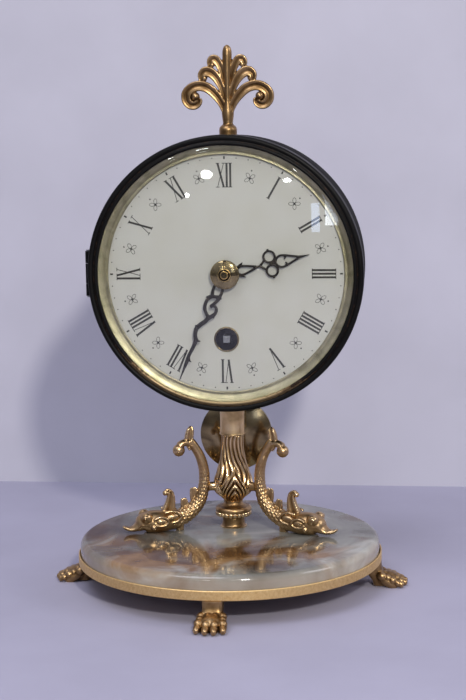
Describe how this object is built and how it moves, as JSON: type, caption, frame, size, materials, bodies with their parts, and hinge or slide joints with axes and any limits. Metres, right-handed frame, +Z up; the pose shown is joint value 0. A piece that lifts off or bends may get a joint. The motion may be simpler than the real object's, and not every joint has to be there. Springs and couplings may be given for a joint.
{
  "type": "pendulum table clock",
  "caption": "Key-wound table clock: black drum on a brass column flanked by dolphins, pendulum behind, round onyx slab on paw feet.",
  "frame": {"origin": "middle of the footprint, on the table under the paw feet", "axes": "+Z up, the dial faces -Y, +X to the right of a person who reads the dial"},
  "size_m": [0.1584, 0.1584, 0.2367],
  "materials": {
    "onyx": "polished",
    "gilt_cast_brass": "aged satin",
    "polished_brass": "polished",
    "black_lacquer": "worn gloss",
    "dial_paint": "matte",
    "clear_glass": "polished",
    "blackened_steel": "satin",
    "steel": "turned",
    "spring_steel": "blued"
  },
  "bodies": {
    "stand": {"onyx_slab": "onyx", "base_band": "gilt_cast_brass", "paw_foot_front": "gilt_cast_brass", "paw_foot_back": "gilt_cast_brass", "paw_foot_left": "gilt_cast_brass", "paw_foot_right": "gilt_cast_brass", "column_foot": "gilt_cast_brass", "column_baluster": "gilt_cast_brass", "column_sleeve": "gilt_cast_brass", "dolphin_right": "gilt_cast_brass", "dolphin_left": "gilt_cast_brass", "finial": "gilt_cast_brass", "winding_grommet": "polished_brass", "front_plate": "polished_brass", "back_plate": "polished_brass", "pillars": "polished_brass", "seat_ring": "polished_brass", "cover_posts": "polished_brass", "suspension_cock": "polished_brass", "hinge_pin": "polished_brass", "case_shell": "black_lacquer", "back_cover": "black_lacquer", "case_hinge": "black_lacquer", "dial": "dial_paint", "foot_screws": "steel", "tie_rod": "steel", "base_nut": "steel", "case_nut": "steel", "finial_nut": "steel", "cover_screws": "steel", "movement_screws": "steel", "seat_screws": "steel", "click_spring": "spring_steel"},
    "bezel_door": {"bezel": "black_lacquer", "crystal": "clear_glass", "sight_ring": "polished_brass", "bezel_hinge": "black_lacquer"},
    "minute_arm": {"minute_hand": "blackened_steel", "hand_washer": "polished_brass", "hand_nut": "polished_brass", "cannon_pinion": "steel"},
    "hour_arm": {"hour_hand": "blackened_steel", "hour_wheel": "polished_brass"},
    "motion_wheel": {"minute_wheel": "polished_brass"},
    "escape": {"escape_wheel": "polished_brass"},
    "third": {"third_wheel": "polished_brass"},
    "centre": {"centre_arbor": "steel", "centre_wheel": "polished_brass"},
    "barrel_drum": {"barrel": "polished_brass", "barrel_cover": "polished_brass", "mainspring": "spring_steel"},
    "winding": {"winding_arbor": "steel", "ratchet_wheel": "steel"},
    "pawl": {"click": "steel"},
    "pendulum": {"anchor": "steel", "suspension_spring": "spring_steel", "pendulum_rod": "steel", "pendulum_bob": "polished_brass", "rating_nut": "polished_brass"}
  },
  "joints": [
    {"name": "bezel_swing", "type": "hinge", "parent": "stand", "child": "bezel_door", "pos_m": [-0.061, 0.00189, 0.1383], "axis": [0, 0, -1], "range_deg": [0, 100]},
    {"name": "minute_turn", "type": "hinge", "parent": "stand", "child": "minute_arm", "pos_m": [0, 0.015, 0.1383], "axis": [0, 1, 0], "continuous": true},
    {"name": "hour_turn", "type": "hinge", "parent": "stand", "child": "hour_arm", "pos_m": [0, 0.015, 0.1383], "axis": [0, 1, 0], "continuous": true},
    {"name": "motion_wheel_turn", "type": "hinge", "parent": "stand", "child": "motion_wheel", "pos_m": [-0.012, 0.015, 0.1383], "axis": [0, 1, 0], "continuous": true},
    {"name": "escape_turn", "type": "hinge", "parent": "stand", "child": "escape", "pos_m": [0, 0.015, 0.15788], "axis": [0, 1, 0], "continuous": true},
    {"name": "third_turn", "type": "hinge", "parent": "stand", "child": "third", "pos_m": [0.01331, 0.015, 0.15071], "axis": [0, 1, 0], "continuous": true},
    {"name": "centre_turn", "type": "hinge", "parent": "stand", "child": "centre", "pos_m": [0, 0.015, 0.1383], "axis": [0, 1, 0], "continuous": true},
    {"name": "barrel_turn", "type": "hinge", "parent": "stand", "child": "barrel_drum", "pos_m": [0, 0.015, 0.1097], "axis": [0, 1, 0], "continuous": true},
    {"name": "winding_turn", "type": "hinge", "parent": "stand", "child": "winding", "pos_m": [0, 0.015, 0.1097], "axis": [0, 1, 0], "continuous": true},
    {"name": "click_lift", "type": "hinge", "parent": "stand", "child": "pawl", "pos_m": [-0.014, 0.015, 0.1173], "axis": [0, -1, 0], "range_deg": [0, 12]},
    {"name": "pendulum_swing", "type": "hinge", "parent": "stand", "child": "pendulum", "pos_m": [0, 0.031, 0.173], "axis": [0, 1, 0], "range_deg": [-4, 4]}
  ],
  "couplings": [
    {"joint": "hour_turn", "follows": "minute_turn", "ratio": 0.083333},
    {"joint": "motion_wheel_turn", "follows": "minute_turn", "ratio": -0.33333},
    {"joint": "third_turn", "follows": "escape_turn", "ratio": -0.090909},
    {"joint": "centre_turn", "follows": "escape_turn", "ratio": 0.0075758},
    {"joint": "barrel_turn", "follows": "escape_turn", "ratio": -0.0015152}
  ]
}
